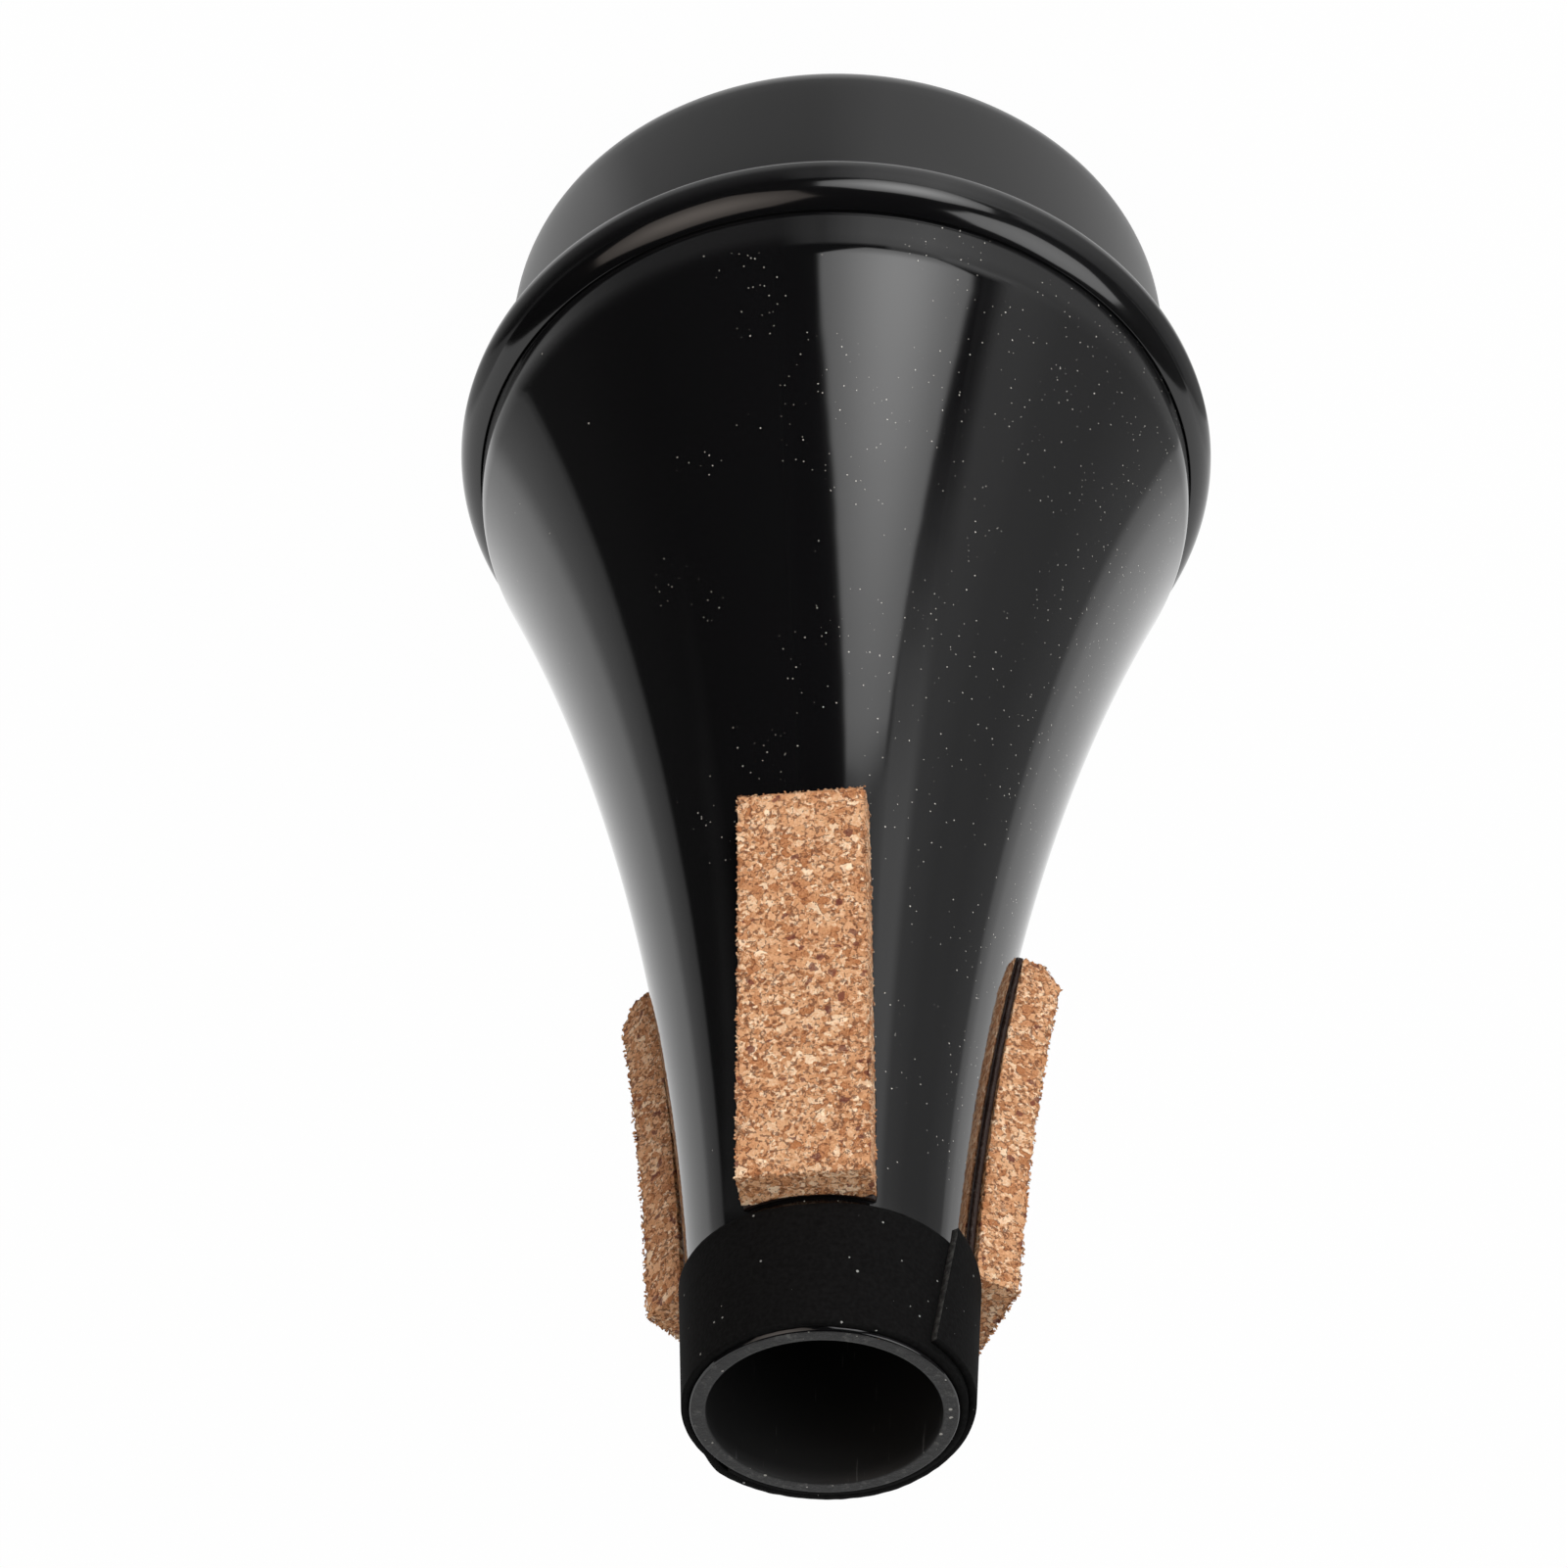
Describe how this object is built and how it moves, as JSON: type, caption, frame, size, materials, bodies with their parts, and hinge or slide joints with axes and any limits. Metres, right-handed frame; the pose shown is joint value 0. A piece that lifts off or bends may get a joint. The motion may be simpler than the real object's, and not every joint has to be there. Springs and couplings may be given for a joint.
{
  "type": "trumpet mute",
  "caption": "Flared hollow mute with a closed, beaded end cap, an open taped neck and cork strips along the neck end that seat in a trumpet's bell.",
  "frame": {"origin": "centre of the flat outer face of the end cap, on the axis, where the mute stands", "axes": "+Z along the axis towards the open neck, -Y towards the front cork strip"},
  "size_m": [0.0888, 0.0888, 0.165],
  "materials": {
    "shell_plastic": "moulded black ABS, polished to a high gloss",
    "cap_plastic": "moulded black ABS, satin side wall and glossy bead",
    "cement": "dark solvent cement",
    "tape": "matt black cloth tape",
    "cork": "cut agglomerated cork, bare",
    "glue": "dark brown contact adhesive"
  },
  "bodies": {
    "root": {"body_shell": "shell_plastic", "end_cap": "cap_plastic", "cap_cement": "cement", "neck_wrap": "tape", "cork_strip_front": "cork", "cork_strip_right": "cork", "cork_strip_left": "cork", "cork_glue_front": "glue", "cork_glue_right": "glue", "cork_glue_left": "glue"}
  },
  "joints": []
}
